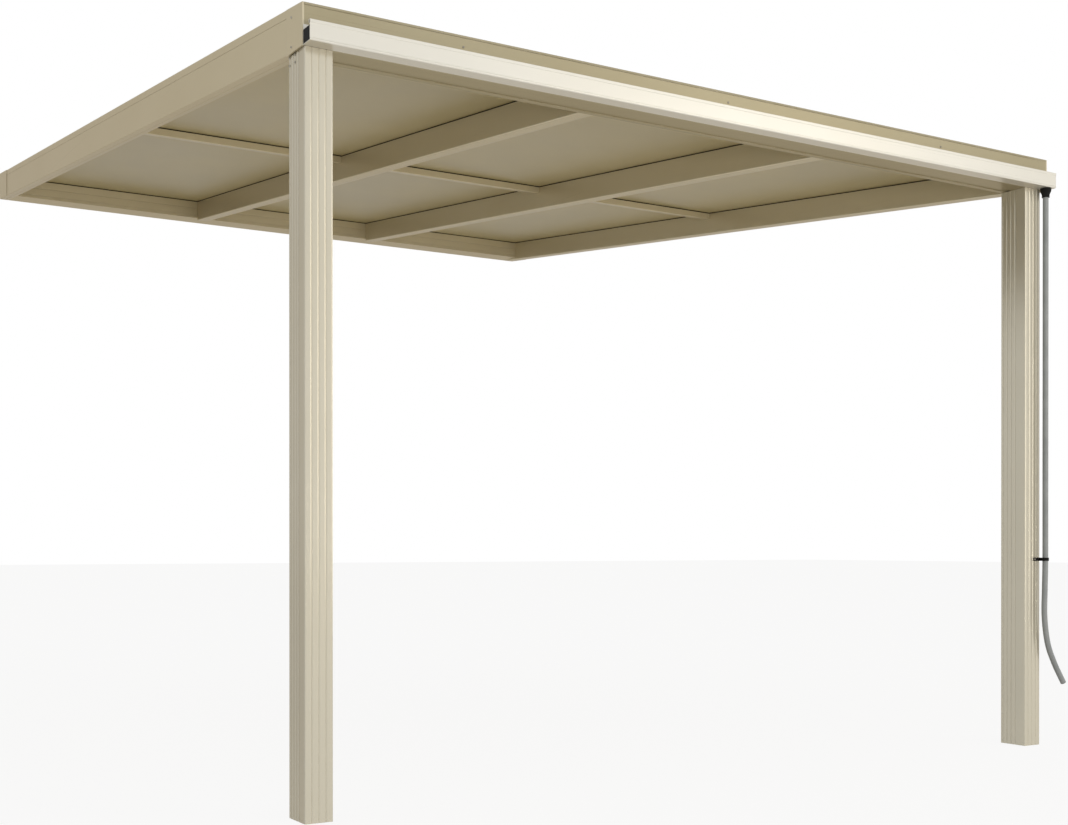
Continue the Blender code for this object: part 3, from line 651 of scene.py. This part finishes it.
black_gasket = moulded(
    "black_gasket",
    dark=(0.012, 0.012, 0.011, 1.0),
    pale=(0.028, 0.027, 0.025, 1.0),
    roughness=0.62,
    grain_scale=900.0,
    grain_depth=0.0002,
)
black_plastic = moulded(
    "black_plastic",
    dark=(0.010, 0.010, 0.010, 1.0),
    pale=(0.020, 0.020, 0.020, 1.0),
    roughness=0.55,
    grain_scale=1400.0,
    grain_depth=0.0001,
)
for dull in (black_gasket, black_plastic):
    dull.node_tree.nodes["Principled BSDF"].inputs["Specular IOR Level"].default_value = DULL_GLOSS
grey_vinyl = moulded(
    "grey_vinyl",
    dark=(0.225, 0.242, 0.252, 1.0),
    pale=(0.280, 0.298, 0.308, 1.0),
    roughness=0.38,
    grain_scale=500.0,
    grain_depth=0.0001,
)
screw_steel = moulded(
    "screw_steel",
    dark=(0.300, 0.280, 0.230, 1.0),
    pale=(0.420, 0.390, 0.330, 1.0),
    roughness=0.34,
    grain_scale=2200.0,
    grain_depth=0.00005,
)
screw_steel.node_tree.nodes["Principled BSDF"].inputs["Metallic"].default_value = 1.0
print("four small finishes")

# %% [markdown]
# Every CAD node gets the finish that fits its own direction; the beam and the gutter get copies whose tones
# hold painted shade and a painted highlight. The frame's record says which slot a node belongs to, and the
# name of a section says which way it runs.

# %% Finishes on the nodes
RUNS_UP = ("post_",)
RUNS_BACK = ("rafter_", "cap_", "wall_end_cover_")
SLOT_FINISH = {
    "bronze_sheet": bronze_sheet,
    "black_gasket": black_gasket,
    "black_plastic": black_plastic,
    "grey_hose": grey_vinyl,
}


def finish_for(name, slot):
    """The material of one node."""
    if slot in SLOT_FINISH:
        return SLOT_FINISH[slot]
    # The gutter takes the copy with the painted highlight, and the beam the copy with painted shade.
    if name == "gutter":
        return gutter_painted_highlight_finish
    if name == "front_beam":
        return beam_painted_shade_finish
    if name.startswith(RUNS_UP):
        return along_height
    if name.startswith(RUNS_BACK):
        return along_depth
    return along_width


def dress(piece, material):
    """Gives a piece one material."""
    piece.data.materials.clear()
    piece.data.materials.append(material)


for part in frame["record"]["subparts"]:
    dress(nodes[part["node"]], finish_for(part["node"], part["material_slot"]))
dress(hose, grey_vinyl)
for screws in (end_plate_screws, post_screws, beam_face_screws, clip_screw):
    dress(screws, screw_steel)
print("finishes given")

# %% [markdown]
# The studio is plain: a pale floor at the foot of the posts, a white surround, one broad warm lamp on the
# right and a soft lamp in front. The camera, metal and sheets all see the same white surround and the same
# floor. As a source of light the surround is dimmer, so that the side that faces away from the lamps falls
# into shade. To the camera the floor is nine tenths white, so its shadow and the horizon are both faint.

# %% Studio
AMBIENT = 0.52
AMBIENT_COLOUR = (0.97, 0.98, 1.0, 1.0)
WHITE = (1.0, 1.0, 1.0, 1.0)
FLOOR_COLOUR = (0.82, 0.78, 0.70, 1.0)
FLOOR_GLOW = 0.90
FLOOR_SIZE = 120.0
FLOOR_GAP = 0.0001
KEY_PLACE = Vector((4.6, -10.6, -0.4))
KEY_TARGET = Vector((0.0, -4.0, -0.4))
KEY_SIZE = (3.0, 4.2)
KEY_POWER = 76.0
KEY_COLOUR = (1.0, 0.92, 0.79)
FILL_PLACE = Vector((-0.5, -11.5, -2.3))
FILL_TARGET = Vector((0.0, -2.0, -0.4))
FILL_SIZE = (7.0, 0.8)
FILL_POWER = 280.0
FILL_COLOUR = (1.0, 0.94, 0.84)


def seen_directly(tree):
    """One for rays of the camera, of reflections and through glass, and nought for others."""
    path = put(tree, "ShaderNodeLightPath").outputs
    either = maths(tree, "MAXIMUM", path["Is Camera Ray"], path["Is Glossy Ray"])
    return maths(tree, "MAXIMUM", either, path["Is Transmission Ray"])


world = bpy.data.worlds.new("studio")
world.use_nodes = True
bpy.context.scene.world = world
surround = world.node_tree
surround.nodes.clear()
dim = put(surround, "ShaderNodeBackground", {"Color": AMBIENT_COLOUR, "Strength": AMBIENT})
bright = put(surround, "ShaderNodeBackground", {"Color": WHITE, "Strength": 1.0})
mixed = put(
    surround,
    "ShaderNodeMixShader",
    {0: seen_directly(surround), 1: dim.outputs[0], 2: bright.outputs[0]},
)
put(surround, "ShaderNodeOutputWorld", {"Surface": mixed.outputs[0]})


def build_floor(shape):
    """A wide square just under the foot of the posts."""
    half = FLOOR_SIZE / 2
    corners = ((-half, -half), (half, -half), (half, half), (-half, half))
    shape.faces.new([shape.verts.new((x, y, foot_z - FLOOR_GAP)) for x, y in corners])


floor = bpy.data.objects.new("floor", mesh_from("floor", build_floor))
bpy.context.scene.collection.objects.link(floor)
floor_paint = bpy.data.materials.new("pale_floor")
floor_paint.use_nodes = True
paint = floor_paint.node_tree
paint.nodes.clear()
matt = put(paint, "ShaderNodeBsdfDiffuse", {"Color": FLOOR_COLOUR})
glow = put(paint, "ShaderNodeEmission", {"Color": WHITE, "Strength": 1.0})
share = maths(paint, "MULTIPLY", seen_directly(paint), FLOOR_GLOW)
both = put(paint, "ShaderNodeMixShader", {0: share, 1: matt.outputs[0], 2: glow.outputs[0]})
put(paint, "ShaderNodeOutputMaterial", {"Surface": both.outputs[0]})
floor.data.materials.append(floor_paint)


def add_lamp(name, place, target, size, power, colour):
    """A rectangular lamp that shines from one place towards another."""
    lamp = bpy.data.lights.new(name, "AREA")
    lamp.shape = "RECTANGLE"
    lamp.size, lamp.size_y = size
    lamp.energy = power
    lamp.color = colour
    stand = bpy.data.objects.new(name, lamp)
    stand.location = place
    stand.rotation_euler = (target - place).to_track_quat("-Z", "Y").to_euler()
    bpy.context.scene.collection.objects.link(stand)
    return stand


add_lamp("broad_lamp", KEY_PLACE, KEY_TARGET, KEY_SIZE, KEY_POWER, KEY_COLOUR)
low_fill = add_lamp("low_fill", FILL_PLACE, FILL_TARGET, FILL_SIZE, FILL_POWER, FILL_COLOUR)
low_fill.visible_glossy = False
bpy.context.scene.view_settings.view_transform = "Standard"
print("studio lit")
